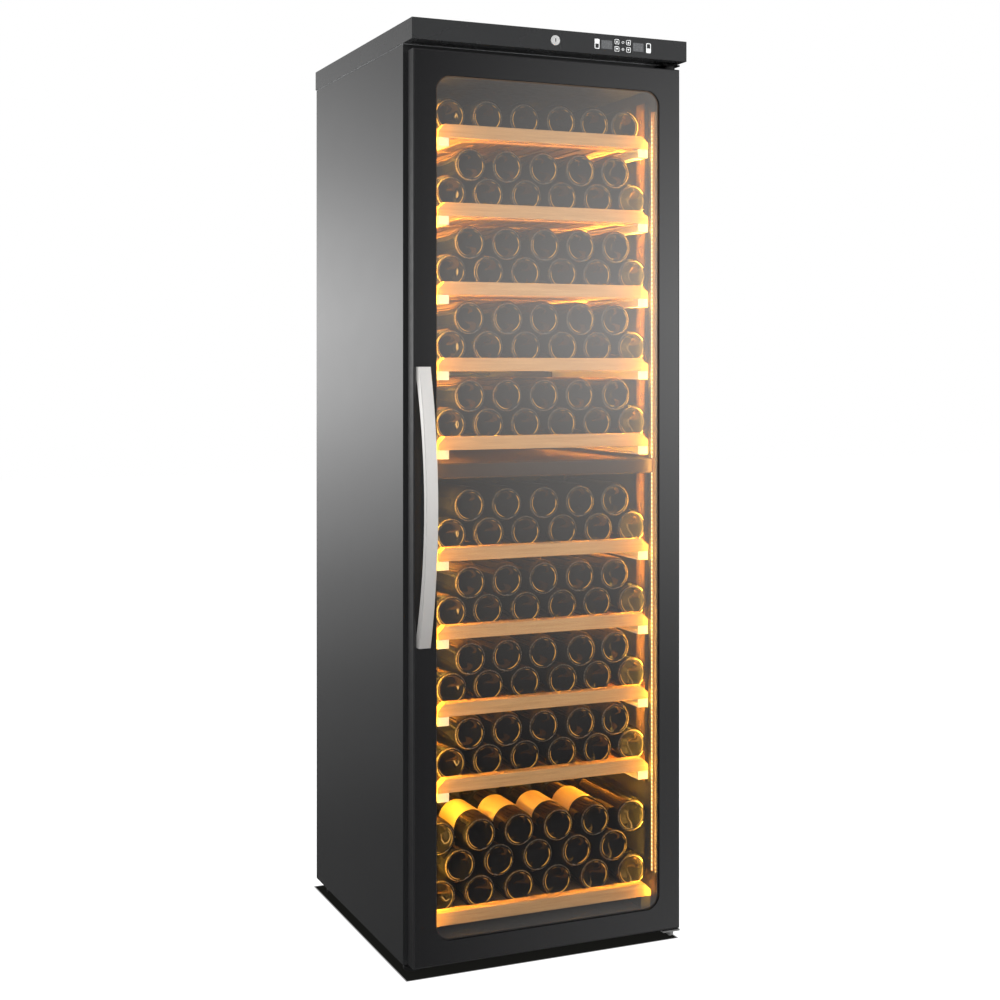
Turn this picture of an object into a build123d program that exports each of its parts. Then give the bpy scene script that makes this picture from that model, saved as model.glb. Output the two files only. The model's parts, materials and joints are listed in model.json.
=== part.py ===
import os

from build123d import *

os.makedirs("parts", exist_ok=True)

# Overall sizes in millimetres. X runs to the right, Y to the back, Z up from the floor.
cabinet_width = 595
cabinet_height = 1835
cover_depth = 626
cover_thickness = 41
cover_front = -305
cover_back = cover_front + cover_depth
cover_wall = 2.5
cover_bottom = cabinet_height - cover_thickness

# The insulated case under the top cover.
case_half = 295.5
case_front = cover_front + 55
case_back = cover_back - 1
case_bottom = 24
case_top = cover_bottom
sheet = 1
flange_inner = 260.3

# The inner liner, with its step over the compressor bay.
liner_half = 258
liner_wall = 2
liner_floor = 62
liner_ceiling = 1746
liner_back = 277
bay_front = 140
bay_roof = 262
bay_insulation = 38

# The glazed door.
door_half = 289
door_front = cover_front + 14.3
door_depth = 30
door_back = door_front + door_depth
door_bottom = 27.5
door_top = 1779.3
window_half = 242.5
window_bottom = 73
window_top = 1732
window_radius = 30
pane = 4
print_thickness = 0.3
lip_width = 2.3
gasket_gap = 0.3

# The door turns about a vertical line near its right edge, halfway through its depth.
pin_x = 275
pin_y = door_front + door_depth / 2
pin_radius = 4
running_fit = 0.05
moving_gap = 0.3

# The bow handle near the free edge.
handle_x = -271
handle_width = 24
handle_low = 639
handle_high = 1173
handle_end_reach = 14
handle_bow = 40
handle_thickness = 13
handle_foot = 26

# The slatted shelves: height of each front lath's top edge, from the top one down.
shelf_tops = (1646, 1493.4, 1339.5, 1190.8, 1037, 820.8, 668.4, 518, 370)
bottom_shelf_top = 112
shelf_left = -221
shelf_right = 240
bottom_shelf_half = 246
lath_height = 26.5
lath_depth = 22
lath_front = cover_front + 58
lath_chamfer = 14
slat_count = 12
slat_thickness = 8
slat_drop = 15
shelf_back = 215
bottom_shelf_back = 75
divider_low = 955
divider_high = 985

# Shelf runners and the slotted pilasters that carry them.
runner_width = 22
runner_height = 17
pilaster_depth = 8
pilaster_width = 38
pilaster_fronts = (-216, 135)
slot_pitch = 38
slot_width = 6
slot_height = 18

# Light strips in the front corners of the liner.
strip_low = 132
strip_high = 1700
strip_depth = 4.5

# Fans, ducts and cooling plates on the rear wall.
duct_half = 150
duct_front = 232
duct_wall = 2
duct_heights = ((1080, 1640), (380, 900))
fan_below_duct_top = 90
fan_frame = 92
fan_depth = 22
rotor_radius = 40

# Controls in the front of the top cover.
control_z = 1814.5
lock_x = 2
lock_z = 1814
zone_buttons = (("upper_zone_up", 137.7, 1822), ("upper_zone_down", 137.7, 1807.5),
                ("lower_zone_up", 163.6, 1822), ("lower_zone_down", 163.6, 1807.5))
round_buttons = (("light", 151.2, 1821.5), ("power", 151.2, 1807.5))
display_centres = (115.6, 186.2)

# Levelling feet.
foot_places = (("front_left", -262, -210), ("front_right", 262, -210),
               ("rear_left", -262, 290), ("rear_right", 262, 290))


def keep(piece, name):
    piece.part.label = name
    export_step(piece.part, f"parts/{name}.step")


def block(x, y, z, mode=Mode.ADD):
    """A box between two values on each axis."""
    with Locations(((x[0] + x[1]) / 2, (y[0] + y[1]) / 2, (z[0] + z[1]) / 2)):
        Box(x[1] - x[0], y[1] - y[0], z[1] - z[0], mode=mode)


def rod(radius, length, start, direction, mode=Mode.ADD):
    """A round bar that starts at a point and runs along an axis."""
    with BuildSketch(Plane(origin=start, z_dir=direction)) as circle:
        Circle(radius)
    extrude(circle.sketch, amount=length, mode=mode)


def ring(half_outer, low, high, half_inner, inner_low, inner_high, y, radius=0):
    """A rectangular frame that stands in the door's plane."""
    with BuildSketch(Plane.XZ.offset(-y[1])) as outline:
        with Locations((0, (low + high) / 2)):
            Rectangle(2 * half_outer, high - low)
        with Locations((0, (inner_low + inner_high) / 2)):
            if radius:
                RectangleRounded(2 * half_inner, inner_high - inner_low, radius, mode=Mode.SUBTRACT)
            else:
                Rectangle(2 * half_inner, inner_high - inner_low, mode=Mode.SUBTRACT)
    extrude(outline.sketch, amount=y[1] - y[0])


def both_sides(x):
    """The same span on the right and on the left."""
    return ((x[0], x[1]), (-x[1], -x[0]))


# ---- case -----------------------------------------------------------------------------

def side_panel(sign):
    """An outer side sheet with folded front and rear flanges."""
    outer = sign * case_half
    inner = sign * (case_half - sheet)
    with BuildPart() as panel:
        block(sorted((outer, inner)), (case_front, case_back), (case_bottom, case_top - sheet))
        block(sorted((inner, sign * flange_inner)), (case_front, case_front + sheet),
              (case_bottom, case_top - sheet))
        block(sorted((inner, sign * 280)), (case_back - sheet, case_back),
              (case_bottom, case_top - sheet))
    return panel


left_side_panel = side_panel(-1)
keep(left_side_panel, "left_side_panel")
right_side_panel = side_panel(1)
keep(right_side_panel, "right_side_panel")

foam_back = case_back - 2 * sheet
with BuildPart() as back_panel:
    block((-case_half + 1.2, case_half - 1.2), (foam_back, case_back - sheet),
          (bay_roof + sheet, case_top - sheet))
keep(back_panel, "back_panel")

with BuildPart() as top_panel:
    block((-case_half, case_half), (case_front, case_back), (case_top - sheet, case_top))
keep(top_panel, "top_panel")

# The foot bosses stand under the tray; each takes a foot's stud.
boss_low = 14
boss_radius = 9
stud_radius = 5
tray_half = case_half - 1.2
with BuildPart() as base_tray:
    block((-tray_half, tray_half), (case_front + 1.2, case_back - sheet), (case_bottom, case_bottom + sheet))
    block((-tray_half, tray_half), (bay_front, bay_front + sheet), (case_bottom + sheet, bay_roof))
    block((-tray_half, tray_half), (bay_front, case_back - sheet), (bay_roof, bay_roof + sheet))
    for _, foot_x, foot_y in foot_places:
        rod(boss_radius, case_bottom - boss_low, (foot_x, foot_y, boss_low), (0, 0, 1))
        rod(stud_radius + running_fit, case_bottom - boss_low, (foot_x, foot_y, boss_low), (0, 0, 1),
            Mode.SUBTRACT)
keep(base_tray, "base_tray")

liner_outer = liner_half + liner_wall
step_back = bay_front - bay_insulation
step_top = bay_roof + bay_insulation

with BuildPart() as front_rails:
    block((-260, 260), (case_front, case_front + sheet), (liner_ceiling + liner_wall + 0.3, case_top - sheet))
    block((-260, 260), (case_front, case_front + sheet), (case_bottom, liner_floor - liner_wall - 0.3))
keep(front_rails, "front_rails")


def liner_outline(grow):
    """The liner's side outline, a box with a step at the back of its floor."""
    with BuildSketch(Plane.YZ.offset(-liner_half - grow)) as outline:
        with BuildLine():
            Polyline((case_front, liner_floor - grow), (step_back - liner_wall + grow, liner_floor - grow),
                     (step_back - liner_wall + grow, step_top + liner_wall - grow),
                     (liner_back + grow, step_top + liner_wall - grow),
                     (liner_back + grow, liner_ceiling + grow), (case_front, liner_ceiling + grow),
                     close=True)
        make_face()
    return outline.sketch


with BuildPart() as inner_liner:
    extrude(liner_outline(liner_wall), amount=2 * liner_outer)
    extrude(liner_outline(0), amount=2 * liner_half, mode=Mode.SUBTRACT)
keep(inner_liner, "inner_liner")

with BuildPart() as foam_insulation:
    block((-tray_half, tray_half), (case_front + 1.2, foam_back), (case_bottom + sheet, case_top - sheet))
    extrude(liner_outline(liner_wall), amount=2 * liner_outer, mode=Mode.SUBTRACT)
    block((-tray_half, tray_half), (bay_front, foam_back), (case_bottom + sheet, bay_roof + sheet),
          Mode.SUBTRACT)
keep(foam_insulation, "foam_insulation")

# ---- top cover with lock and controls ---------------------------------------------------

lock_reach = 46
cam_front = cover_front + 24.3
cam_thickness = 2.5
lock_radius = 8.4
plug_radius = 6
button_half = 5.5
button_gap = 0.3
round_radius = 3
display_size = (24, 17)
cover_half = cabinet_width / 2
slot_front = cam_front - 2.3
slot_back = cam_front + 8.7

with BuildPart() as top_cover:
    block((-cover_half, cover_half), (cover_front, cover_back), (cover_bottom, cabinet_height))
    block((-cover_half + cover_wall, cover_half - cover_wall),
          (cover_front + cover_wall, cover_back - cover_wall),
          (cover_bottom, cabinet_height - cover_wall), Mode.SUBTRACT)
    fillet(top_cover.edges().group_by(Axis.Z)[-1], radius=1.2)
    block((-cover_half + cover_wall, cover_half - cover_wall), (cover_front + cover_wall, case_front),
          (cover_bottom, cover_bottom + cover_wall))
    block((lock_x - lock_reach - 6, lock_x + 12), (slot_front, slot_back),
          (cover_bottom, cover_bottom + cover_wall), Mode.SUBTRACT)
    rod(lock_radius + 0.1, cover_wall, (lock_x, cover_front, lock_z), (0, 1, 0), Mode.SUBTRACT)
    for _, button_x, button_z in zone_buttons:
        half = button_half + button_gap
        block((button_x - half, button_x + half), (cover_front, cover_front + cover_wall),
              (button_z - half, button_z + half), Mode.SUBTRACT)
    for _, button_x, button_z in round_buttons:
        rod(round_radius + button_gap, cover_wall, (button_x, cover_front, button_z), (0, 1, 0),
            Mode.SUBTRACT)
    for display_x in display_centres:
        block((display_x - display_size[0] / 2, display_x + display_size[0] / 2),
              (cover_front, cover_front + cover_wall),
              (control_z - display_size[1] / 2, control_z + display_size[1] / 2), Mode.SUBTRACT)
keep(top_cover, "top_cover")

with BuildPart() as display_windows:
    for display_x in display_centres:
        block((display_x - display_size[0] / 2, display_x + display_size[0] / 2),
              (cover_front + 0.2, cover_front + cover_wall),
              (control_z - display_size[1] / 2, control_z + display_size[1] / 2))
keep(display_windows, "display_windows")

# A circuit board on edge behind the controls, its switches, and a power module further back.
board_front = cover_front + 12
with BuildPart() as control_board:
    block((88, 216), (board_front, board_front + 1.6), (1800, 1829))
    for _, button_x, button_z in zone_buttons:
        block((button_x - 3, button_x + 3), (board_front - 3.6, board_front),
              (button_z - 3, button_z + 3))
    for _, button_x, button_z in round_buttons:
        block((button_x - 2, button_x + 2), (board_front - 3.6, board_front),
              (button_z - 2, button_z + 2))
    block((-60, 90), (-60, 50), (cover_bottom, cover_bottom + 1.6))
    for module_x in (-40, -5, 30):
        block((module_x, module_x + 24), (-40, 10), (cover_bottom + 1.6, cover_bottom + 22))
keep(control_board, "control_board")


def push_button(shape_x, shape_z, round_cap):
    """A cap that stands a little proud of the fascia, with a stop flange behind it."""
    cap_front = cover_front - 0.8
    cap_length = cover_wall + 0.8 + 0.3
    with BuildPart() as button:
        with BuildSketch(Plane.XZ.offset(-cap_front)) as cap:
            with Locations((shape_x, shape_z)):
                if round_cap:
                    Circle(round_radius)
                else:
                    RectangleRounded(2 * button_half, 2 * button_half, 1.5)
        extrude(cap.sketch, amount=-cap_length)
        fillet(button.faces().sort_by(Axis.Y)[0].edges(), radius=0.25)
        with BuildSketch(Plane.XZ.offset(-cap_front - cap_length)) as flange:
            with Locations((shape_x, shape_z)):
                if round_cap:
                    Circle(round_radius + 1)
                else:
                    Rectangle(2 * button_half + 2, 2 * button_half + 2)
        extrude(flange.sketch, amount=-1.5)
        rod(1.2, 2.5, (shape_x, cap_front + cap_length + 1.5, shape_z), (0, 1, 0))
    return button


for button_name, button_x, button_z in zone_buttons:
    keep(push_button(button_x, button_z, False), f"{button_name}_button")
for button_name, button_x, button_z in round_buttons:
    keep(push_button(button_x, button_z, True), f"{button_name}_button")

with BuildPart() as lock_body:
    rod(9.8, 1.6, (lock_x, cover_front - 1.6, lock_z), (0, 1, 0))
    rod(lock_radius, 24, (lock_x, cover_front, lock_z), (0, 1, 0))
    with BuildSketch(Plane.XZ.offset(-cover_front - cover_wall)) as nut:
        with Locations((lock_x, lock_z)):
            RegularPolygon(11.5, 6)
    extrude(nut.sketch, amount=-4)
    rod(plug_radius + running_fit, 30, (lock_x, cover_front - 3, lock_z), (0, 1, 0), Mode.SUBTRACT)
    fillet(lock_body.edges().filter_by(GeomType.CIRCLE).sort_by(Axis.Y)[:2].sort_by(SortBy.RADIUS)[-1],
           radius=0.5)
keep(lock_body, "lock_body")

cam_width = 12
with BuildPart() as lock_barrel:
    rod(plug_radius, 26.6, (lock_x, cover_front - 2.3, lock_z), (0, 1, 0))
    block((lock_x - 0.7, lock_x + 0.7), (cover_front - 2.3, cover_front + 3), (lock_z - 3.2, lock_z + 3.2),
          Mode.SUBTRACT)
    with BuildSketch(Plane.XZ.offset(-cam_front)) as cam:
        with Locations((lock_x - (lock_reach - cam_width / 2) / 2, lock_z)):
            SlotCenterToCenter(lock_reach - cam_width / 2, cam_width)
    extrude(cam.sketch, amount=-cam_thickness)
    rod(3.5, 2, (lock_x, cam_front + cam_thickness, lock_z), (0, 1, 0))
keep(lock_barrel, "lock_barrel")

# ---- interior ----------------------------------------------------------------------------

strip_front = case_front + 3
with BuildPart() as led_channels:
    for x in both_sides((liner_half - 1, liner_half)):
        block(x, (strip_front, strip_front + 14), (strip_low, strip_high))
keep(led_channels, "led_channels")

with BuildPart() as led_diffusers:
    for x in both_sides((liner_half - 1 - strip_depth, liner_half - 1)):
        block(x, (strip_front + 1, strip_front + 13), (strip_low + 2, strip_high - 2))
    inner_edges = led_diffusers.edges().filter_by(Axis.Z).group_by(lambda e: abs(e.center().X))[0]
    fillet(inner_edges, radius=3.5)
keep(led_diffusers, "led_diffusers")

divider_nose_back = strip_front + 16
with BuildPart() as zone_divider:
    block((-251, 251), (lath_front, divider_nose_back), (divider_low, divider_high))
    fillet(zone_divider.edges().filter_by(Axis.X).sort_by(Axis.Y)[:2], radius=4)
    block((-liner_half + 0.5, liner_half - 0.5), (divider_nose_back, liner_back - 47),
          (divider_low, divider_high))
keep(zone_divider, "zone_divider")

pilaster_low = step_top + 12
pilaster_high = liner_ceiling - 26
slot_rows = int((pilaster_high - pilaster_low - slot_pitch) / slot_pitch)
with BuildPart() as shelf_pilasters:
    for x in both_sides((liner_half - pilaster_depth, liner_half)):
        for y in pilaster_fronts:
            for z in ((pilaster_low, divider_low - 2), (divider_high + 2, pilaster_high)):
                block(x, (y, y + pilaster_width), z)
    for x in both_sides((liner_half - pilaster_depth + 1.5, liner_half)):
        for y in pilaster_fronts:
            block(x, (y + 1.5, y + pilaster_width - 1.5), (pilaster_low, pilaster_high), Mode.SUBTRACT)
    slot_places = [(0, y + pilaster_width / 2, pilaster_low + slot_pitch * (row + 1))
                   for y in pilaster_fronts for row in range(slot_rows)]
    with Locations(slot_places):
        Box(2 * liner_half, slot_width, slot_height, mode=Mode.SUBTRACT)
keep(shelf_pilasters, "shelf_pilasters")


def runner(top, side_x, sign, back, reach):
    """A channel under one end of a shelf, with lugs out to the pilasters."""
    inner_x = side_x - sign * runner_width
    low = top - runner_height
    front = lath_front + 1
    block(sorted((inner_x, side_x)), (front, back), (low, top))
    block(sorted((inner_x, side_x - sign * 2)), (front + 4, back), (low + 2, top - 2), Mode.SUBTRACT)
    for lug_y in reach:
        block(sorted((side_x, sign * (liner_half - pilaster_depth))), (lug_y + 8, lug_y + 30),
              (low + 4, low + 7))


with BuildPart() as shelf_runners:
    for lath_top in shelf_tops:
        runner_top = lath_top - lath_height - moving_gap
        runner(runner_top, shelf_right, 1, shelf_back - 5, pilaster_fronts)
        runner(runner_top, shelf_left, -1, shelf_back - 5, pilaster_fronts)
    bottom_runner_top = bottom_shelf_top - lath_height - moving_gap
    for side in (1, -1):
        side_x = side * bottom_shelf_half
        front = lath_front + 1
        block(sorted((side_x - side * runner_width, side_x)), (front, bottom_shelf_back - 5),
              (liner_floor, bottom_runner_top))
keep(shelf_runners, "shelf_runners")


def shelf(left, right, top, back):
    """A slatted wooden shelf: front lath with cut corners, slats, back lath and battens."""
    low = top - lath_height
    slat_back = back - 15
    with BuildPart() as frame:
        with BuildSketch(Plane.XZ.offset(-lath_front)) as face:
            with BuildLine():
                Polyline((left, low), (right, low), (right, top - lath_chamfer),
                         (right - lath_chamfer, top), (left + lath_chamfer, top),
                         (left, top - lath_chamfer), close=True)
            make_face()
        extrude(face.sketch, amount=-lath_depth)
        fillet(frame.edges().filter_by(Axis.X).group_by(Axis.Y)[0], radius=1.5)
        pitch = (right - left) / slat_count
        slat_gap = 8.6
        for number in range(slat_count):
            slat_left = left + pitch * number + slat_gap / 2
            block((slat_left, slat_left + pitch - slat_gap), (lath_front + lath_depth, slat_back),
                  (top - slat_drop - slat_thickness, top - slat_drop))
        block((left, right), (slat_back, back), (low, top - slat_drop))
        for share in (0.06, 0.5, 0.94):
            batten_y = lath_front + lath_depth + share * (slat_back - lath_front - lath_depth)
            block((left + 1, right - 1), (batten_y - 11, batten_y + 11),
                  (low, top - slat_drop - slat_thickness))
    return frame


for number, lath_top in enumerate(shelf_tops, start=1):
    keep(shelf(shelf_left, shelf_right, lath_top, shelf_back), f"shelf_{number}")
keep(shelf(-bottom_shelf_half, bottom_shelf_half, bottom_shelf_top, bottom_shelf_back), "shelf_10")

# ---- air ducts, fans and cooling plates ----------------------------------------------------

fan_places = [(0, high - fan_below_duct_top) for _, high in duct_heights]
fan_front = duct_front + duct_wall
shaft_radius = 2

with BuildPart() as air_ducts:
    for low, high in duct_heights:
        block((-duct_half, duct_half), (duct_front, liner_back), (low, high))
        block((-duct_half + duct_wall, duct_half - duct_wall), (fan_front, liner_back),
              (low + duct_wall, high - duct_wall), Mode.SUBTRACT)
        slot_z = [low + 40 + 18 * row for row in range(5)]
        with Locations([(0, duct_front, z) for z in slot_z]):
            Box(180, 3 * duct_wall, 6, mode=Mode.SUBTRACT)
    for fan_x, fan_z in fan_places:
        rod(rotor_radius + 3, 2 * duct_wall, (fan_x, duct_front - 1, fan_z), (0, 1, 0), Mode.SUBTRACT)
keep(air_ducts, "air_ducts")

motor_back = fan_front + fan_depth
with BuildPart() as fan_housings:
    for fan_x, fan_z in fan_places:
        block((fan_x - fan_frame / 2, fan_x + fan_frame / 2), (fan_front, motor_back),
              (fan_z - fan_frame / 2, fan_z + fan_frame / 2))
        rod(rotor_radius + 2, fan_depth, (fan_x, fan_front, fan_z), (0, 1, 0), Mode.SUBTRACT)
        block((fan_x - fan_frame / 2 + 1, fan_x + fan_frame / 2 - 1), (motor_back - 3, motor_back),
              (fan_z - 4, fan_z + 4))
        rod(15, 4, (fan_x, motor_back - 4, fan_z), (0, 1, 0))
        rod(shaft_radius, fan_depth - 8, (fan_x, fan_front + 4, fan_z), (0, 1, 0))
keep(fan_housings, "fan_housings")


def fan_rotor(fan_x, fan_z):
    """A hub that turns on the housing's shaft, with seven pitched blades."""
    hub_radius = 16
    blade_count = 7
    front = fan_front + 2.5
    length = 14
    with BuildPart() as rotor:
        rod(hub_radius, length, (fan_x, front, fan_z), (0, 1, 0))
        with BuildSketch(Plane(origin=(fan_x, front + length / 2, fan_z), z_dir=(1, 0, 0))) as section:
            Rectangle(length - 2, 1.6, rotation=35)
        blade_start = 12
        blade = extrude(section.sketch, amount=rotor_radius - 1, mode=Mode.PRIVATE)
        cutter = Solid.make_cylinder(blade_start, 60, Plane(origin=(fan_x, front - 20, fan_z), z_dir=(0, 1, 0)))
        blade = blade - cutter
        for number in range(blade_count):
            turn = Axis((fan_x, front, fan_z), (0, 1, 0))
            add(blade.rotate(turn, number * 360 / blade_count))
        rod(shaft_radius + running_fit, length, (fan_x, front, fan_z), (0, 1, 0), Mode.SUBTRACT)
    return rotor


for rotor_name, (fan_x, fan_z) in zip(("upper", "lower"), fan_places):
    keep(fan_rotor(fan_x, fan_z), f"{rotor_name}_fan_rotor")

plate_half = 130
with BuildPart() as evaporators:
    for low, high in duct_heights:
        plate_high = high - 2 * fan_below_duct_top
        block((-plate_half, plate_half), (262, 264), (low + 20, plate_high))
        row_z = low + 40
        while row_z < plate_high - 20:
            block((-plate_half + 12, plate_half - 12), (258, 262), (row_z - 4, row_z + 4))
            row_z += 30
keep(evaporators, "evaporators")

# ---- machine bay ---------------------------------------------------------------------------

floor_top = case_bottom + sheet
compressor_x = 40
compressor_y = 226
can_half = (84, 68)
can_low = 43
can_high = 195

with BuildPart() as compressor_mounts:
    for x in (-80, 80):
        for y in (-52, 52):
            rod(11, 10, (compressor_x + x, compressor_y + y, floor_top), (0, 0, 1))
            rod(7, 2, (compressor_x + x, compressor_y + y, floor_top + 10), (0, 0, 1))
keep(compressor_mounts, "compressor_mounts")

with BuildPart() as compressor:
    with BuildSketch(Plane.XY.offset(can_low)) as can_outline:
        with Locations((compressor_x, compressor_y)):
            Ellipse(*can_half)
    extrude(can_outline.sketch, amount=can_high - can_low)
    fillet(compressor.edges().group_by(Axis.Z)[-1], radius=38)
    fillet(compressor.edges().group_by(Axis.Z)[0], radius=26)
    can_hollow = offset(amount=-8, mode=Mode.PRIVATE)
    with BuildSketch(Plane.XY.offset(112)) as seam:
        with Locations((compressor_x, compressor_y)):
            Ellipse(can_half[0] + 3, can_half[1] + 3)
    extrude(seam.sketch, amount=5)
    block((compressor_x - 94, compressor_x + 94), (compressor_y - 64, compressor_y + 64),
          (floor_top + 12, floor_top + 15))
    for x in (-50, 50):
        block((compressor_x + x - 12, compressor_x + x + 12), (compressor_y - 45, compressor_y + 45),
              (floor_top + 15, 56))
    block((compressor_x + 60, compressor_x + 108), (compressor_y - 30, compressor_y + 30), (70, 145))
    add(can_hollow, mode=Mode.SUBTRACT)
keep(compressor, "compressor")

tray_low = can_high
with BuildPart() as drip_tray:
    block((compressor_x - 75, compressor_x + 75), (compressor_y - 60, compressor_y + 60),
          (tray_low, tray_low + 28))
    block((compressor_x - 73, compressor_x + 73), (compressor_y - 58, compressor_y + 58),
          (tray_low + 2, tray_low + 28), Mode.SUBTRACT)
keep(drip_tray, "drip_tray")

# Wire-and-tube condenser behind the back panel: tube passes with vertical wires against both faces.
condenser_y = 334.2
condenser_back = 344.7
tube_radius = 2.5
wire_radius = 0.9
wire_clear = 0.05
condenser_low = 420
condenser_high = 1620
condenser_half = 235
pass_pitch = 60
pass_count = 21
wire_pitch = 20
wire_count = 23
wire_offset = tube_radius + wire_radius + wire_clear
with BuildPart() as condenser:
    with BuildSketch(Plane.YZ.offset(-condenser_half)) as passes:
        with Locations((condenser_y, (condenser_low + condenser_high) / 2)):
            with GridLocations(0, pass_pitch, 1, pass_count):
                Circle(tube_radius)
    extrude(passes.sketch, amount=2 * condenser_half)
    for number in range(pass_count - 1):
        side = 1 if number % 2 else -1
        pass_z = condenser_low + pass_pitch * number
        with BuildSketch(Plane(origin=(side * condenser_half, condenser_y, pass_z),
                               z_dir=(1, 0, 0))) as bend_section:
            Circle(tube_radius)
        bend_axis = Axis((side * condenser_half, condenser_y, pass_z + pass_pitch / 2), (0, side, 0))
        revolve(bend_section.sketch, axis=bend_axis, revolution_arc=-180)
    with BuildSketch(Plane.XY.offset(condenser_low - 10)) as wires:
        with Locations((0, condenser_y)):
            with GridLocations(wire_pitch, 2 * wire_offset, wire_count, 2):
                Circle(wire_radius)
    extrude(wires.sketch, amount=condenser_high - condenser_low + 20)
    for x in (-180, 180):
        for z in (condenser_low + 90, condenser_high - 90):
            block((x - 5, x + 5), (case_back - sheet, condenser_y - 1), (z - 8, z + 8))
    block((-40, 40), (condenser_y + wire_offset + wire_radius, condenser_back),
          (condenser_low - 10, condenser_low + 12))
keep(condenser, "condenser")


def pipe(radius, points, bend):
    """A round tube along straight runs joined by bends."""
    with BuildLine() as route:
        FilletPolyline(*points, radius=bend)
    start = Plane(origin=route.line @ 0, z_dir=route.line % 0)
    with BuildSketch(start) as section:
        Circle(radius)
    sweep(section.sketch, path=route.line)


with BuildPart() as refrigerant_pipes:
    pipe(3, ((-44, 190, 120), (-120, 190, 120), (-120, 190, 225), (-120, 300, 225), (-120, 300, 254)), 14)
    pipe(3, ((-44, 240, 90), (-170, 240, 90), (-170, 240, 256)), 18)
    rod(9, 110, (-170, 240, 120), (0, 0, 1))
keep(refrigerant_pipes, "refrigerant_pipes")

# Inlet for a mains lead, on an upright plate at the rear left of the machine bay.
inlet_x = -225
inlet_z = 95
with BuildPart() as power_inlet:
    block((inlet_x - 32, inlet_x + 32), (case_back - 6, case_back - 4), (floor_top, inlet_z + 26))
    block((inlet_x - 14, inlet_x + 14), (case_back - 32, case_back - 1), (inlet_z - 11, inlet_z + 11))
    block((inlet_x - 12, inlet_x + 12), (case_back - 18, case_back - 1), (inlet_z - 8.5, inlet_z + 8.5),
          Mode.SUBTRACT)
    for pin_offset, pin_height in ((-7, -2), (0, 3), (7, -2)):
        block((inlet_x + pin_offset - 1, inlet_x + pin_offset + 1), (case_back - 18, case_back - 3),
              (inlet_z + pin_height - 2.5, inlet_z + pin_height + 2.5))
keep(power_inlet, "power_inlet")

# ---- hinges and feet -------------------------------------------------------------------------

bush_radius = 7
bush_flange = 10
bush_depth = 13
plate_top = case_bottom
upper_plate_low = door_top + 7
upper_plate_high = upper_plate_low + 3
bracket_left = 253
bracket_right = 291

with BuildPart() as hinge_brackets:
    block((bracket_left, bracket_right), (pin_y - 13, -222), (plate_top - 3, plate_top))
    rod(pin_radius, door_bottom - plate_top + bush_depth - 1, (pin_x, pin_y, plate_top), (0, 0, 1))
    rod(9, 1.6, (pin_x, pin_y, plate_top - 3), (0, 0, -1))
    with BuildSketch(Plane.XY.offset(plate_top - 4.6)) as pin_nut:
        with Locations((pin_x, pin_y)):
            RegularPolygon(8, 6)
    extrude(pin_nut.sketch, amount=-6)
    rod(pin_radius, 3, (pin_x, pin_y, plate_top - 10.6), (0, 0, -1))
    block((bracket_left, bracket_right), (pin_y - 13, case_front), (upper_plate_low, upper_plate_high))
    block((bracket_left, bracket_right), (case_front - 3, case_front), (upper_plate_low - 18, upper_plate_low))
    rod(pin_radius, upper_plate_low - door_top + bush_depth - 1, (pin_x, pin_y, upper_plate_low), (0, 0, -1))
    rod(6, cover_bottom - upper_plate_high, (pin_x, pin_y, upper_plate_high), (0, 0, 1))
keep(hinge_brackets, "hinge_brackets")

with BuildPart() as door_hinge_bushes:
    rod(bush_radius, bush_depth, (pin_x, pin_y, door_bottom), (0, 0, 1))
    rod(bush_flange, door_bottom - plate_top - moving_gap, (pin_x, pin_y, door_bottom), (0, 0, -1))
    rod(pin_radius + running_fit, bush_depth + 6, (pin_x, pin_y, plate_top), (0, 0, 1), Mode.SUBTRACT)
    rod(bush_radius, bush_depth, (pin_x, pin_y, door_top), (0, 0, -1))
    rod(bush_flange, upper_plate_low - door_top - moving_gap, (pin_x, pin_y, door_top), (0, 0, 1))
    rod(pin_radius + running_fit, bush_depth + 12, (pin_x, pin_y, upper_plate_low), (0, 0, -1), Mode.SUBTRACT)
keep(door_hinge_bushes, "door_hinge_bushes")

for foot_name, foot_x, foot_y in foot_places:
    with BuildPart() as foot:
        rod(18, 6, (foot_x, foot_y, 0), (0, 0, 1))
        fillet(foot.edges().group_by(Axis.Z)[-1], radius=2)
        with BuildSketch(Plane.XY.offset(6)) as grip:
            with Locations((foot_x, foot_y)):
                RegularPolygon(11, 6)
        extrude(grip.sketch, amount=5)
        rod(stud_radius, 23.4 - 11, (foot_x, foot_y, 11), (0, 0, 1))
    keep(foot, f"{foot_name}_foot")

# ---- door ----------------------------------------------------------------------------------

glass_back = door_front + pane
border_back = glass_back + print_thickness
spacer_depth = 12
inner_glass_front = border_back + spacer_depth
inner_glass_back = inner_glass_front + pane
glazing_half = 260
glazing_gap = 1
glass_half = door_half - lip_width
window = (window_half, window_bottom, window_top)
edge_to_glazing = door_half - glazing_half
glazing_low = door_bottom + edge_to_glazing
glazing_high = door_top - edge_to_glazing
trim_half = door_half - 5
trim_low = door_bottom + 5
trim_high = door_top - 5

with BuildPart() as door_outer_glass:
    with BuildSketch(Plane.XZ.offset(-glass_back)) as pane_outline:
        with Locations((0, (door_bottom + door_top) / 2)):
            Rectangle(2 * glass_half, door_top - door_bottom - 2 * lip_width)
    extrude(pane_outline.sketch, amount=pane)
keep(door_outer_glass, "door_outer_glass")

with BuildPart() as door_glass_border:
    ring(glass_half, door_bottom + lip_width, door_top - lip_width, *window, (glass_back, border_back),
         window_radius)
keep(door_glass_border, "door_glass_border")

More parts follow.
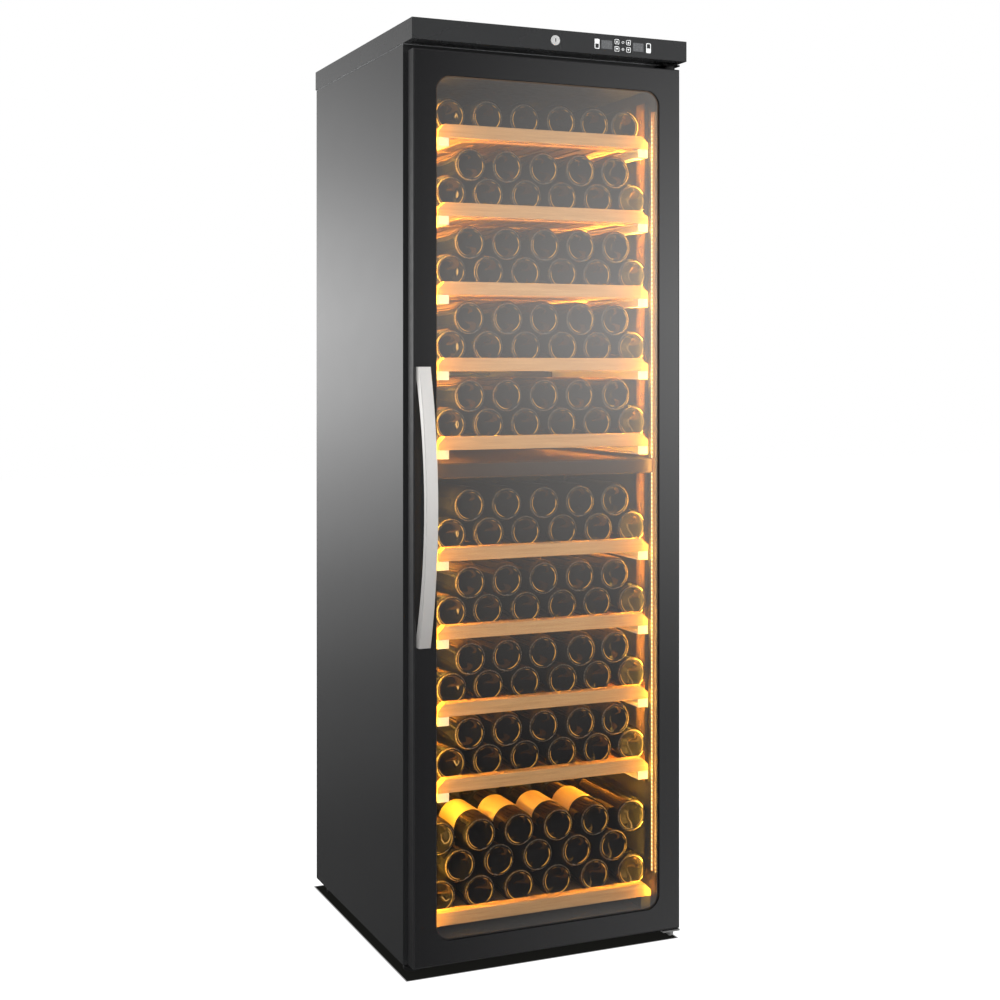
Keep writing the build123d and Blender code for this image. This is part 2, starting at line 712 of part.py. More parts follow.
keeper_low = door_top - 16
with BuildPart() as door_frame:
    ring(door_half, door_bottom, door_top, glass_half, door_bottom + lip_width, door_top - lip_width,
         (door_front, border_back))
    ring(door_half, door_bottom, door_top, glazing_half + glazing_gap, glazing_low - glazing_gap,
         glazing_high + glazing_gap, (border_back, inner_glass_back))
    ring(door_half, door_bottom, door_top, trim_half, trim_low, trim_high, (inner_glass_back, door_back))
    groove = (door_front + 8, inner_glass_back)
    for x in both_sides((glazing_half + 4, door_half - 6)):
        block(x, groove, (door_bottom + 40, door_top - 40), Mode.SUBTRACT)
    for z in ((door_bottom + 6, glazing_low - 4), (glazing_high + 4, door_top - 6)):
        block((-door_half + 40, door_half - 40), groove, z, Mode.SUBTRACT)
    block((lock_x - lock_reach - 2, lock_x + 10), (slot_front, slot_back), (keeper_low, door_top),
          Mode.SUBTRACT)
    for z in ((door_bottom, door_bottom + bush_depth), (door_top - bush_depth, door_top)):
        rod(bush_radius, z[1] - z[0], (pin_x, pin_y, z[0]), (0, 0, 1), Mode.SUBTRACT)
    front_edges = door_frame.faces().sort_by(Axis.Y)[0].outer_wire().edges()
    fillet(front_edges, radius=1)
keep(door_frame, "door_frame")

with BuildPart() as glazing_spacer:
    ring(258, glazing_low + 2, glazing_high - 2, 248, glazing_low + 12, glazing_high - 12,
         (border_back, inner_glass_front))
keep(glazing_spacer, "glazing_spacer")

with BuildPart() as door_inner_glass:
    with BuildSketch(Plane.XZ.offset(-inner_glass_back)) as pane_outline:
        with Locations((0, (door_bottom + door_top) / 2)):
            Rectangle(2 * glazing_half, glazing_high - glazing_low)
    extrude(pane_outline.sketch, amount=pane)
keep(door_inner_glass, "door_inner_glass")

gasket_outer = 273
gasket_inner = 261
gasket_low = door_bottom + door_half - gasket_outer
gasket_high = door_top - door_half + gasket_outer
gasket_width = gasket_outer - gasket_inner
trim_seat = 3
trim_setback = 6
trim_radius = 12
with BuildPart() as door_inner_frame:
    ring(trim_half, trim_low, trim_high, window_half + trim_setback, window_bottom - trim_setback,
         window_top + trim_setback, (inner_glass_back, door_back), trim_radius)
    ring_low = gasket_low + 3
    ring_high = gasket_high - 3
    with BuildSketch(Plane.XZ.offset(-door_back)) as seat:
        with Locations((0, (ring_low + ring_high) / 2)):
            Rectangle(2 * gasket_outer - 6, ring_high - ring_low)
            Rectangle(2 * gasket_inner + 6, ring_high - ring_low - 2 * (gasket_width - 6), mode=Mode.SUBTRACT)
    extrude(seat.sketch, amount=trim_seat, mode=Mode.SUBTRACT)
    for z in ((door_bottom, door_bottom + bush_depth), (door_top - bush_depth, door_top)):
        rod(bush_radius, z[1] - z[0], (pin_x, pin_y, z[0]), (0, 0, 1), Mode.SUBTRACT)
keep(door_inner_frame, "door_inner_frame")

with BuildPart() as door_gasket:
    ring(gasket_outer - 3, gasket_low + 3, gasket_high - 3, gasket_inner + 3,
         gasket_low + gasket_width - 3, gasket_high - gasket_width + 3, (door_back - trim_seat, door_back))
    ring(gasket_outer, gasket_low, gasket_high, gasket_inner, gasket_low + gasket_width,
         gasket_high - gasket_width, (door_back, case_front - gasket_gap))
    fillet(door_gasket.faces().sort_by(Axis.Y)[-1].edges(), radius=2.5)
keep(door_gasket, "door_gasket")

# The handle's bar is an arc in side view, flat on the door at both ends.
handle_middle = (handle_low + handle_high) / 2
handle_front = door_front - handle_end_reach
with BuildPart() as door_handle:
    with BuildSketch(Plane.YZ.offset(handle_x - handle_width / 2)) as bow:
        with BuildLine():
            ThreePointArc((handle_front, handle_low), (handle_front - handle_bow, handle_middle),
                          (handle_front, handle_high))
            Line((handle_front, handle_high), (door_front, handle_high))
            Line((door_front, handle_high), (door_front, handle_high - handle_foot))
            ThreePointArc((door_front, handle_high - handle_foot),
                          (handle_front - handle_bow + handle_thickness, handle_middle),
                          (door_front, handle_low + handle_foot))
            Line((door_front, handle_low + handle_foot), (door_front, handle_low))
            Line((door_front, handle_low), (handle_front, handle_low))
        make_face()
    extrude(bow.sketch, amount=handle_width)
    long_edges = door_handle.edges().filter_by(GeomType.CIRCLE)
    fillet(long_edges, radius=1.2)
keep(door_handle, "door_handle")

# ---- screws ----------------------------------------------------------------------------------


def screw_head(place, direction):
    """A domed head with a cross recess, flat on the sheet that it holds."""
    head_radius = 3.6
    head_height = 2.2
    with BuildSketch(Plane(origin=place, z_dir=direction)) as seat:
        Circle(head_radius)
    extrude(seat.sketch, amount=head_height, taper=18)
    top = tuple(p + d * head_height for p, d in zip(place, direction))
    with BuildSketch(Plane(origin=top, z_dir=direction)) as cross:
        Rectangle(3.6, 0.8)
        Rectangle(0.8, 3.6)
    extrude(cross.sketch, amount=-1, mode=Mode.SUBTRACT)


with BuildPart() as cabinet_screws:
    for screw_x in (-285, -95, 95, 285):
        screw_head((screw_x, cover_back, cover_bottom + 12), (0, 1, 0))
    for screw_x in (-288, 288):
        for screw_z in (330, 800, 1270, 1740):
            screw_head((screw_x, case_back, screw_z), (0, 1, 0))
    for screw_x in (261, 284):
        screw_head((screw_x, case_front - 3, upper_plate_low - 9), (0, -1, 0))
    for screw_y in (-244, -230):
        screw_head((pin_x - 12, screw_y, plate_top - 3), (0, 0, -1))
keep(cabinet_screws, "cabinet_screws")
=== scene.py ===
import json
import math
import random

import bmesh
import bpy
from mathutils import Euler, Matrix, Vector


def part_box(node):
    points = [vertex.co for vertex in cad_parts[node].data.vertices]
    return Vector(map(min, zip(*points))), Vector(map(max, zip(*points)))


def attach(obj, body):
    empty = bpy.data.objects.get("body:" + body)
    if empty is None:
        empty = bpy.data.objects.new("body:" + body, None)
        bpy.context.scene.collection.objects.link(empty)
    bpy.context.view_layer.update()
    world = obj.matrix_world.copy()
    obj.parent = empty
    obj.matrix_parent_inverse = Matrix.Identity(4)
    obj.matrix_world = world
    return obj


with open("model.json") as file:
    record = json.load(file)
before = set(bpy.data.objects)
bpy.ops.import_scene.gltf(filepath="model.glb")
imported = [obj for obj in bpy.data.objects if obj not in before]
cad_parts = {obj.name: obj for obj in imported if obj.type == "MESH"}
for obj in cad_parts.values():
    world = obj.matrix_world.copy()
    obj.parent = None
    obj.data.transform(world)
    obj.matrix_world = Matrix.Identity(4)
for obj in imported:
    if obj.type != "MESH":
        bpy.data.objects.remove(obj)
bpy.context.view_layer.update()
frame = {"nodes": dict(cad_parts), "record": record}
nodes = frame["nodes"]
print("frame loaded", len(nodes), "nodes")


# shader maths: a socket that adds its own Math nodes
class Signal:
    def __init__(self, paint, socket):
        self.paint = paint
        self.socket = socket

    def math(self, operation, first, second=None):
        inputs = {0: first} if second is None else {0: first, 1: second}
        return self.paint.add("ShaderNodeMath", inputs, operation=operation)

    def __add__(self, other):
        return self.math("ADD", self, other)

    def __sub__(self, other):
        return self.math("SUBTRACT", self, other)

    def __rsub__(self, other):
        return self.math("SUBTRACT", other, self)

    def __mul__(self, other):
        return self.math("MULTIPLY", self, other)

    def __gt__(self, other):
        return self.math("GREATER_THAN", self, other)

    def __lt__(self, other):
        return self.math("LESS_THAN", self, other)

    def abs(self):
        return self.math("ABSOLUTE", self)

    def root(self):
        return self.math("SQRT", self)

    def larger(self, other):
        return self.math("MAXIMUM", self, other)

    __radd__ = __add__
    __rmul__ = __mul__


# a material with one Principled shader; values are what stays the same all over
class Paint:
    def __init__(self, name, values):
        self.material = bpy.data.materials.new(name)
        self.material.use_nodes = True
        self.tree = self.material.node_tree
        self.shader = self.tree.nodes["Principled BSDF"]
        for socketName, value in values.items():
            self.shader.inputs[socketName].default_value = value
        self.place = self.add("ShaderNodeTexCoord", {}, output="Object")

    def add(self, kind, inputs, output=0, stops=None, **settings):
        made = self.tree.nodes.new(kind)
        for setting, value in settings.items():
            setattr(made, setting, value)
        if stops:
            ramp = made.color_ramp
            while len(ramp.elements) < len(stops):
                ramp.elements.new(0.5)
            for element, (position, colour) in zip(ramp.elements, stops):
                element.position = position
                element.color = (*colour, 1)
        for key, value in inputs.items():
            if isinstance(value, Signal):
                self.tree.links.new(value.socket, made.inputs[key])
            else:
                made.inputs[key].default_value = value
        return Signal(self, made.outputs[output])

    def drive(self, socketName, signal):
        self.tree.links.new(signal.socket, self.shader.inputs[socketName])

    def gloss(self, scale, smooth, rough):
        # roughness that wanders between two values
        self.drive("Roughness", self.fade(self.noise(scale), 0.3, 0.7, smooth, rough))

    def axis(self, letter):
        return self.add("ShaderNodeSeparateXYZ", {0: self.place}, output=letter)

    def stretched(self, scale):
        return self.add("ShaderNodeMapping", {"Vector": self.place, "Scale": scale})

    def noise(self, scale, detail=3, vector=None, roughness=0.5):
        return self.add("ShaderNodeTexNoise", {"Vector": vector or self.place, "Scale": scale,
                                               "Detail": detail, "Roughness": roughness})

    def fade(self, signal, low, high, toLow=0, toHigh=1):
        return self.add("ShaderNodeMapRange", {"Value": signal, "From Min": low, "From Max": high,
                                               "To Min": toLow, "To Max": toHigh})

    def blend(self, share, first, second):
        return self.add("ShaderNodeMix", {0: share, 6: first, 7: second}, output=2, data_type="RGBA")

    def beads(self, pitch):
        # a sine wave up the strip, one crest for each light
        return self.add("ShaderNodeMath", {0: self.axis("Z") * (2 * math.pi / pitch)}, operation="SINE")

    def bump(self, height, strength, distance):
        values = {"Height": height, "Strength": strength, "Distance": distance}
        self.drive("Normal", self.add("ShaderNodeBump", values))


def rgb(red, green, blue):
    return (red, green, blue, 1)


# two close tones in soft patches, a wandering gloss and, where it is given, a fine grain
def mottled(name, look):
    paint = Paint(name, {"IOR": look["ior"], "Specular IOR Level": look.get("shine", 0.5)})
    tones = [rgb(*look["dark"]), rgb(*look["pale"])]
    paint.drive("Base Color", paint.blend(paint.noise(look["patches"]), *tones))
    paint.gloss(look["smears"], *look["rough"])
    if "grain" in look:
        scale, detail, strength, depth = look["grain"]
        paint.bump(paint.noise(scale, detail), strength, depth)
    return paint.material


def plain(name):
    looks = {
        "casePaint": {"dark": (0.01056, 0.0108, 0.01116), "pale": (0.01344, 0.0138, 0.01416), "patches": 6,
                      "smears": 14, "rough": (0.185, 0.215), "grain": (420, 2, 0.03, 0.0003), "ior": 1.5},
        "coverPaint": {"dark": (0.01848, 0.0189, 0.01953), "pale": (0.02352, 0.02415, 0.02478), "patches": 6,
                       "smears": 14, "rough": (0.255, 0.285), "grain": (420, 2, 0.03, 0.0003), "ior": 1.5},
        "doorPaint": {"dark": (0.012, 0.012, 0.0125), "pale": (0.016, 0.016, 0.0165), "patches": 9,
                      "smears": 60, "rough": (0.32, 0.38), "grain": (900, 2, 0.06, 0.0002), "ior": 1.45,
                      "shine": 0.3},
        "printedBlack": {"dark": (0.006, 0.006, 0.0065), "pale": (0.009, 0.009, 0.0095), "patches": 5,
                         "smears": 25, "rough": (0.3, 0.36), "ior": 1.45},
        "linerPlastic": {"dark": (0.05, 0.048, 0.047), "pale": (0.07, 0.068, 0.066), "patches": 5,
                         "smears": 80, "rough": (0.38, 0.5), "grain": (600, 2, 0.15, 0.0004), "ior": 1.5},
        "dividerPlastic": {"dark": (0.04, 0.026, 0.018), "pale": (0.052, 0.034, 0.024), "patches": 20,
                           "smears": 120, "rough": (0.42, 0.52), "ior": 1.5},
        "blackRubber": {"dark": (0.004, 0.004, 0.004), "pale": (0.007, 0.007, 0.007), "patches": 40,
                        "smears": 90, "rough": (0.6, 0.75), "grain": (500, 3, 0.2, 0.0004), "ior": 1.45},
    }
    return mottled(name, looks[name])


def moulded(name):
    # tone and roughness of the moulded and small painted parts
    looks = {"trimPlastic": (0.004, 0.55), "ductPlastic": (0.05, 0.5), "fanPlastic": (0.015, 0.45),
             "compressorPaint": (0.008, 0.3), "condenserPaint": (0.01, 0.4), "trayPlastic": (0.5, 0.45),
             "buttonPlastic": (0.014, 0.36), "inletPlastic": (0.012, 0.5), "channelPaint": (0.02, 0.5),
             "bushPlastic": (0.012, 0.5), "footPlastic": (0.012, 0.5)}
    tone, rough = looks[name]
    pale = tone * 1.4
    return mottled(name, {"dark": (tone, tone, tone), "pale": (pale, pale, pale), "patches": 20, "smears": 120,
                          "rough": (rough - 0.06, rough + 0.06), "grain": (900, 2, 0.1, 0.0003), "ior": 1.5})


def windowRimPrintLitAbove():
    look = {"foot": 0.3, "head": 1.5, "low": rgb(0.03, 0.028, 0.029), "high": rgb(0.1, 0.07, 0.05)}
    paint = Paint("windowRimPrintLitAbove", {"Roughness": 0.4})
    # painted light: the print gets lighter and browner towards the top
    height = paint.fade(paint.axis("Z"), look["foot"], look["head"])
    paint.drive("Base Color", paint.blend(height, look["low"], look["high"]))
    return paint.material


def outerGlass():
    # clear over the window, glossy black over the printed border
    look = {"half": 0.2426, "low": 0.0729, "high": 1.7321, "radius": 0.03, "mirror": 0.3,
            "border": rgb(0.008, 0.008, 0.0085), "clear": rgb(0.94, 0.935, 0.93)}
    paint = Paint("outerGlass", {"Base Color": look["border"], "IOR": 2.05, "Roughness": 0.12})
    middle = (look["low"] + look["high"]) / 2
    reach = (look["high"] - look["low"]) / 2 - look["radius"]
    awayX = (paint.axis("X").abs() - (look["half"] - look["radius"])).larger(0)
    awayZ = ((paint.axis("Z") - middle).abs() - reach).larger(0)
    inWindow = (awayX * awayX + awayZ * awayZ).root() < look["radius"]
    through = paint.add("ShaderNodeBsdfTransparent", {"Color": look["clear"]})
    mirror = paint.add("ShaderNodeBsdfGlossy", {"Color": rgb(1, 1, 1), "Roughness": 0.06})
    facing = paint.add("ShaderNodeFresnel", {"IOR": 1.45})
    pane = paint.add("ShaderNodeMixShader", {0: facing * look["mirror"], 1: through, 2: mirror})
    border = Signal(paint, paint.shader.outputs[0])
    mixed = paint.add("ShaderNodeMixShader", {0: inWindow, 1: border, 2: pane})
    paint.tree.links.new(mixed.socket, paint.tree.nodes["Material Output"].inputs["Surface"])
    return paint.material


def innerGlass():
    # the inner pane glows with a painted reflection of the studio light, a haze that is most at eye height and
    # to the right, hardly at the foot
    look = {"paintedGlare": [(0.073, 0.03), (0.1, 0.018), (0.14, 0.006), (0.35, 0.004), (0.55, 0.018), (0.69, 0.034),
                     (0.83, 0.05), (0.97, 0.066), (1.1, 0.1), (1.25, 0.125), (1.35, 0.118), (1.5, 0.098),
                     (1.6, 0.082), (1.73, 0.064)],
            "share": 0.13, "warm": (1, 0.975, 0.955), "half": 0.24, "sides": (0.62, 1.2)}
    low, high = look["paintedGlare"][0][0], look["paintedGlare"][-1][0]
    paint = Paint("innerGlass", {"Base Color": rgb(0, 0, 0), "Roughness": 1.0, "Specular IOR Level": 0.0,
                                 "Emission Strength": 1.0, "Alpha": look["share"]})
    stops = [((z - low) / (high - low), [tone * part / look["share"] for part in look["warm"]])
             for z, tone in look["paintedGlare"]]
    upward = paint.add("ShaderNodeValToRGB", {0: paint.fade(paint.axis("Z"), low, high)}, stops=stops)
    sideways = paint.fade(paint.axis("X"), -look["half"], look["half"], *look["sides"])
    glow = paint.add("ShaderNodeVectorMath", {0: upward, "Scale": sideways}, operation="SCALE")
    # the pane emits this painted reflection
    paint.drive("Emission Color", glow)
    return paint.material


def brushedSteel():
    # lengthwise brush lines on a bar, with painted light that makes it lighter towards its top
    look = {"foot": 0.64, "head": 1.17, "low": rgb(0.46, 0.445, 0.43), "high": rgb(0.95, 0.93, 0.9),
            "line": rgb(0.4, 0.39, 0.375), "lines": 0.3}
    paint = Paint("brushedSteel", {"Metallic": 0.55, "Anisotropic": 0.4})
    lines = paint.noise(60, 4, paint.stretched((30, 30, 0.6)), 0.65)
    # painted light: the steel gets lighter up the bar
    upward = paint.fade(paint.axis("Z"), look["foot"], look["head"])
    litSteel = paint.blend(upward, look["low"], look["high"])
    paint.drive("Base Color", paint.blend(lines * look["lines"], litSteel, look["line"]))
    paint.drive("Roughness", paint.fade(lines, 0.25, 0.75, 0.3, 0.42))
    paint.bump(lines, 0.12, 0.0002)
    return paint.material


def lockPlate():
    # satin chrome with painted shade for the key slot, which turns with the barrel
    look = {"slot": (0.002, 1.814), "half": (0.0009, 0.0038)}
    paint = Paint("lockPlate", {"Metallic": 0.35})
    # painted shade where the keyway is
    aside = (paint.axis("X") - look["slot"][0]).abs() < look["half"][0]
    slotShade = aside * ((paint.axis("Z") - look["slot"][1]).abs() < look["half"][1])
    plate = paint.blend(paint.noise(240), rgb(0.46, 0.46, 0.455), rgb(0.58, 0.58, 0.575))
    paint.drive("Base Color", paint.blend(slotShade, plate, rgb(0.01, 0.01, 0.01)))
    paint.gloss(300, 0.2, 0.3)
    return paint.material


def zincPlate():
    paint = Paint("zincPlate", {"Metallic": 0.9})
    patches = paint.add("ShaderNodeTexVoronoi", {"Vector": paint.place, "Scale": 190}, output="Distance")
    paint.drive("Base Color", paint.blend(patches, rgb(0.5, 0.5, 0.5), rgb(0.68, 0.68, 0.67)))
    paint.gloss(160, 0.28, 0.42)
    return paint.material


def hingePlate():
    # zinc at the foot of the door; the upper plate is dark all over but for a bright square round its pin
    look = {"pin": (0.275, -0.2757), "reach": 0.0042}
    paint = Paint("hingePlate", {"Metallic": 0.9})
    awayX = (paint.axis("X") - look["pin"][0]).abs()
    awayY = (paint.axis("Y") - look["pin"][1]).abs()
    bright = (paint.axis("Z") < 0.9).larger(awayX.larger(awayY) < look["reach"])
    paint.drive("Base Color", paint.blend(bright, rgb(0.012, 0.012, 0.012), rgb(0.62, 0.62, 0.61)))
    paint.gloss(160, 0.28, 0.42)
    return paint.material


def galvanisedSheet():
    paint = Paint("galvanisedSheet", {"Metallic": 0.85})
    spangle = paint.add("ShaderNodeTexVoronoi", {"Vector": paint.place, "Scale": 45}, output="Color")
    tone = paint.add("ShaderNodeSeparateColor", {0: spangle})
    paint.drive("Base Color", paint.blend(tone, rgb(0.42, 0.43, 0.44), rgb(0.52, 0.53, 0.54)))
    paint.drive("Roughness", paint.fade(tone, 0, 1, 0.4, 0.52))
    return paint.material


def ledGlow():
    # a narrow beaded core in an amber cover
    look = {"centre": -0.2405, "half": 0.0026, "pitch": 0.0085, "strength": 3, "top": 1.698, "fade": 0.045,
            "cover": rgb(0.1, 0.05, 0.02)}
    paint = Paint("ledGlow", {"Base Color": look["cover"], "Roughness": 0.35,
                              "Emission Strength": look["strength"]})
    beads = paint.beads(look["pitch"])
    core = paint.blend(paint.fade(beads, -1, 0.6), rgb(0.75, 0.3, 0.05), rgb(1, 0.7, 0.32))
    aside = (paint.axis("Y") - look["centre"]).abs()
    tip = paint.fade(paint.axis("Z"), look["top"] - look["fade"], look["top"])
    core = paint.blend(tip, core, rgb(0.16, 0.045, 0.008))
    spread = paint.fade(aside, look["half"] * 0.7, look["half"] * 1.3)
    paint.drive("Emission Color", paint.blend(spread, core, rgb(0.075, 0.022, 0.004)))
    return paint.material


def beechWood():
    # the grain runs along X in the front lath and along Y in all that is behind it
    look = {"pale": (0.67, 0.395, 0.168), "dark": (0.53, 0.29, 0.112), "fleck": rgb(0.38, 0.19, 0.085),
            "lathBack": -0.2255, "seam": 0.0005}
    paint = Paint("beechWood", {"IOR": 1.45})
    alongX = paint.stretched((1.2, 22, 26))
    alongY = paint.stretched((26, 1.2, 22))
    behindLath = paint.fade(paint.axis("Y"), look["lathBack"] - look["seam"], look["lathBack"] + look["seam"])
    place = paint.add("ShaderNodeMix", {0: behindLath, 4: alongX, 5: alongY}, output=1, data_type="VECTOR")
    grain = paint.noise(7, 6, place, 0.62)
    flecks = paint.noise(34, 3, place, 0.7)
    colour = paint.add("ShaderNodeValToRGB", {0: grain}, stops=[(0.32, look["dark"]), (0.62, look["pale"])])
    fleckMask = paint.fade(flecks, 0.6, 0.74) * 0.35
    paint.drive("Base Color", paint.blend(fleckMask, colour, look["fleck"]))
    paint.drive("Roughness", paint.fade(grain, 0.3, 0.7, 0.42, 0.56))
    paint.bump(flecks, 0.2, 0.0004)
    return paint.material


def pilasterPaint():
    # grey paint, coloured amber by painted strip light, with painted shade along the narrow front edge
    paint = Paint("pilasterPaint", {"IOR": 1.5})
    look = {"edge": 0.2155, "paint": rgb(0.21, 0.115, 0.055), "edgeShade": rgb(0.03, 0.03, 0.03)}
    # painted shade along the narrow front edge
    edgeShade = (paint.axis("Y") + look["edge"]) < 0
    paint.drive("Base Color", paint.blend(edgeShade, look["paint"], look["edgeShade"]))
    paint.gloss(90, 0.4, 0.5)
    return paint.material


def runnerPaint():
    # pale, but painted shade makes the pair on the cabinet floor dark
    paint = Paint("runnerPaint", {"IOR": 1.5})
    look = {"floor": 0.1, "dark": rgb(0.03, 0.03, 0.03), "pale": rgb(0.8, 0.78, 0.72)}
    paint.drive("Base Color", paint.blend(paint.axis("Z") > look["floor"], look["dark"], look["pale"]))
    paint.gloss(90, 0.3, 0.4)
    return paint.material


def copperTube():
    paint = Paint("copperTube", {"Metallic": 1})
    paint.drive("Base Color", paint.blend(paint.noise(35, 4), rgb(0.62, 0.3, 0.17), rgb(0.78, 0.45, 0.3)))
    paint.gloss(60, 0.2, 0.42)
    return paint.material


def circuitBoard():
    paint = Paint("circuitBoard", {"IOR": 1.5})
    tracks = paint.add("ShaderNodeTexBrick", {"Vector": paint.place, "Scale": 60}, output="Fac")
    paint.drive("Base Color", paint.blend(tracks, rgb(0.012, 0.11, 0.04), rgb(0.05, 0.24, 0.1)))
    paint.gloss(80, 0.3, 0.45)
    return paint.material


def displayFace():
    paint = Paint("displayFace", {"IOR": 1.5})
    grid = paint.noise(500, 1)
    paint.drive("Base Color", paint.blend(grid, rgb(0.075, 0.077, 0.08), rgb(0.1, 0.102, 0.106)))
    paint.drive("Roughness", paint.fade(grid, 0.3, 0.7, 0.22, 0.3))
    return paint.material


def iconInk():
    paint = Paint("iconInk", {"Roughness": 0.45})
    paint.drive("Base Color", paint.blend(paint.noise(300), rgb(0.74, 0.75, 0.75), rgb(0.84, 0.85, 0.85)))
    return paint.material


def foamFill():
    paint = Paint("foamFill", {"Roughness": 0.9})
    cells = paint.add("ShaderNodeTexVoronoi", {"Vector": paint.place, "Scale": 300}, output="Distance")
    paint.drive("Base Color", paint.blend(cells, rgb(0.6, 0.52, 0.3), rgb(0.78, 0.7, 0.45)))
    return paint.material


def bottleGlass():
    # dark glass with a dull standing ring; emission paints amber highlights of the strips and a pale reflection
    # of the front light inside it
    look = {"standing": (0.0302, 0.0016), "heelGlint": (0.0262, 0.0011), "front": (0.0285, 0.0009)}
    base = 0.006  # the rings, each a radius and a half width, stay this close to the base
    paint = Paint("bottleGlass", {"IOR": 1.45, "Emission Strength": 1.0})
    across = (paint.axis("X") * paint.axis("X") + paint.axis("Z") * paint.axis("Z")).root()
    onBase = paint.axis("Y") < base
    rings = {}
    for ring, (radius, half) in look.items():
        rings[ring] = paint.fade((across - radius).abs(), half * 0.4, half, 1, 0) * onBase
    dots = paint.add("ShaderNodeTexVoronoi", {"Vector": paint.place, "Scale": 420}, output="Distance")
    stipple = rings["standing"] * paint.fade(dots, 0.25, 0.6, 1, 0.35)
    broken = paint.fade(paint.noise(46, 1), 0.44, 0.56)
    # painted amber highlight of the strips, broken into arcs
    heelGlint = rings["heelGlint"] * paint.fade(paint.axis("X").abs(), 0.009, 0.019) * broken
    # painted reflection of the front light, low on the right
    lowerRight = (paint.axis("Z") < -0.016) * (paint.axis("X") > 0)
    front = rings["front"] * lowerRight * paint.fade(paint.noise(60, 1), 0.4, 0.6)
    glow = paint.blend(heelGlint, rgb(0, 0, 0), rgb(0.85, 0.42, 0.07))
    paint.drive("Emission Color", paint.blend(front * 0.35, glow, rgb(0.8, 0.78, 0.74)))
    paint.drive("Base Color", paint.blend(stipple, rgb(0.007, 0.007, 0.007), rgb(0.16, 0.125, 0.085)))
    paint.drive("Roughness", paint.fade(stipple, 0, 1, 0.05, 0.4))
    return paint.material


def paleLabelAmberLit():
    paint = Paint("paleLabelAmberLit", {"Roughness": 0.7})
    # the pale paper is painted amber-yellow with painted strip light
    paint.drive("Base Color", paint.blend(paint.noise(70), rgb(0.72, 0.52, 0.16), rgb(0.82, 0.62, 0.24)))
    return paint.material


def floorTone():
    # pale all over, with a painted shadow under the cabinet
    look = {"half": (0.294, 0.302), "centre": (0.0, 0.032), "soft": 0.006}
    paint = Paint("floorTone", {"Roughness": 1.0, "Emission Strength": 1.0, "Specular IOR Level": 0.0})
    outX = (paint.axis("X") - look["centre"][0]).abs() - look["half"][0]
    outY = (paint.axis("Y") - look["centre"][1]).abs() - look["half"][1]
    shade = paint.fade(outX.larger(outY), 0, look["soft"])
    # the painted shadow darkens both the base colour and the glow inside the footprint
    paint.drive("Base Color", paint.blend(shade, rgb(0.004, 0.004, 0.004), rgb(0.5, 0.5, 0.5)))
    paint.drive("Emission Color", paint.blend(shade, rgb(0.008, 0.008, 0.007), rgb(1, 1, 1)))
    return paint.material


def cardGlow(name, stops, across, tones):
    # a reflector seen only in glossy surfaces; stops run up it and tones run along X
    paint = Paint(name, {"Base Color": rgb(0, 0, 0), "Roughness": 1.0, "Specular IOR Level": 0.0,
                         "Emission Strength": 1.0})
    low, high = stops[0][0], stops[-1][0]
    scaled = [((height - low) / (high - low), (tone, tone, tone)) for height, tone in stops]
    upward = paint.add("ShaderNodeValToRGB", {0: paint.fade(paint.axis("Z"), low, high)}, stops=scaled)
    sideways = paint.fade(paint.axis("X"), *across, *tones)
    glow = paint.add("ShaderNodeVectorMath", {0: upward, "Scale": sideways}, operation="SCALE")
    paint.drive("Emission Color", glow)
    return paint.material


finishes = {
    "black_paint": plain("casePaint"),
    "galvanised_steel": galvanisedSheet(),
    "liner_plastic": plain("linerPlastic"),
    "foam": foamFill(),
    "beech": beechWood(),
    "clear_glass": outerGlass(),
    "black_glass_print": plain("printedBlack"),
    "door_paint": plain("doorPaint"),
    "trim_plastic": moulded("trimPlastic"),
    "rubber": plain("blackRubber"),
    "stainless": brushedSteel(),
    "zinc": zincPlate(),
    "led_diffuser": ledGlow(),
    "duct_plastic": moulded("ductPlastic"),
    "fan_plastic": moulded("fanPlastic"),
    "compressor_paint": moulded("compressorPaint"),
    "condenser_paint": moulded("condenserPaint"),
    "tray_plastic": moulded("trayPlastic"),
    "copper": copperTube(),
    "circuit_board": circuitBoard(),
    "display_plastic": displayFace(),
    "button_plastic": moulded("buttonPlastic"),
    "inlet_plastic": moulded("inletPlastic"),
}
finishes["aluminium"] = finishes["zinc"]
finishes["plate_aluminium"] = finishes["galvanised_steel"]

# nodes that look unlike the rest of their slot
special = {
    "top_cover": plain("coverPaint"),
    "door_inner_glass": innerGlass(),
    "hinge_brackets": hingePlate(),
    "shelf_pilasters": pilasterPaint(),
    "shelf_runners": runnerPaint(),
    "zone_divider": plain("dividerPlastic"),
    "led_channels": moulded("channelPaint"),
    "lock_body": lockPlate(),
    "lock_barrel": lockPlate(),
    "door_hinge_bushes": moulded("bushPlastic"),
}
footPlastic = moulded("footPlastic")
for end in ("front_left", "front_right", "rear_left", "rear_right"):
    special[f"{end}_foot"] = footPlastic
slotOf = {part["node"]: part["material_slot"] for part in frame["record"]["subparts"]}
for nodeName, node in nodes.items():
    finish = special.get(nodeName) or finishes[slotOf[nodeName]]
    for slotNumber in range(len(node.material_slots)):
        node.material_slots[slotNumber].material = finish
    if not node.material_slots:
        node.data.materials.append(finish)
print("finishes on every node")


def meshData(name, mesh, finish, smooth=False):
    for face in mesh.faces:
        face.smooth = smooth
    data = bpy.data.meshes.new(name)
    mesh.to_mesh(data)
    mesh.free()
    data.materials.append(finish)
    return data


def linkObject(name, data):
    made = bpy.data.objects.new(name, data)
    bpy.context.scene.collection.objects.link(made)
    return made


# a new piece that rides on one of the cooler's bodies
def finishPiece(name, mesh, finish, body):
    bmesh.ops.recalc_face_normals(mesh, faces=mesh.faces)
    piece = linkObject(name, meshData(name, mesh, finish))
    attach(piece, body)


def thicken(mesh, faces, depth):
    grown = bmesh.ops.extrude_face_region(mesh, geom=faces)["geom"]
    moved = [part for part in grown if isinstance(part, bmesh.types.BMVert)]
    bmesh.ops.translate(mesh, vec=(0, depth, 0), verts=moved)


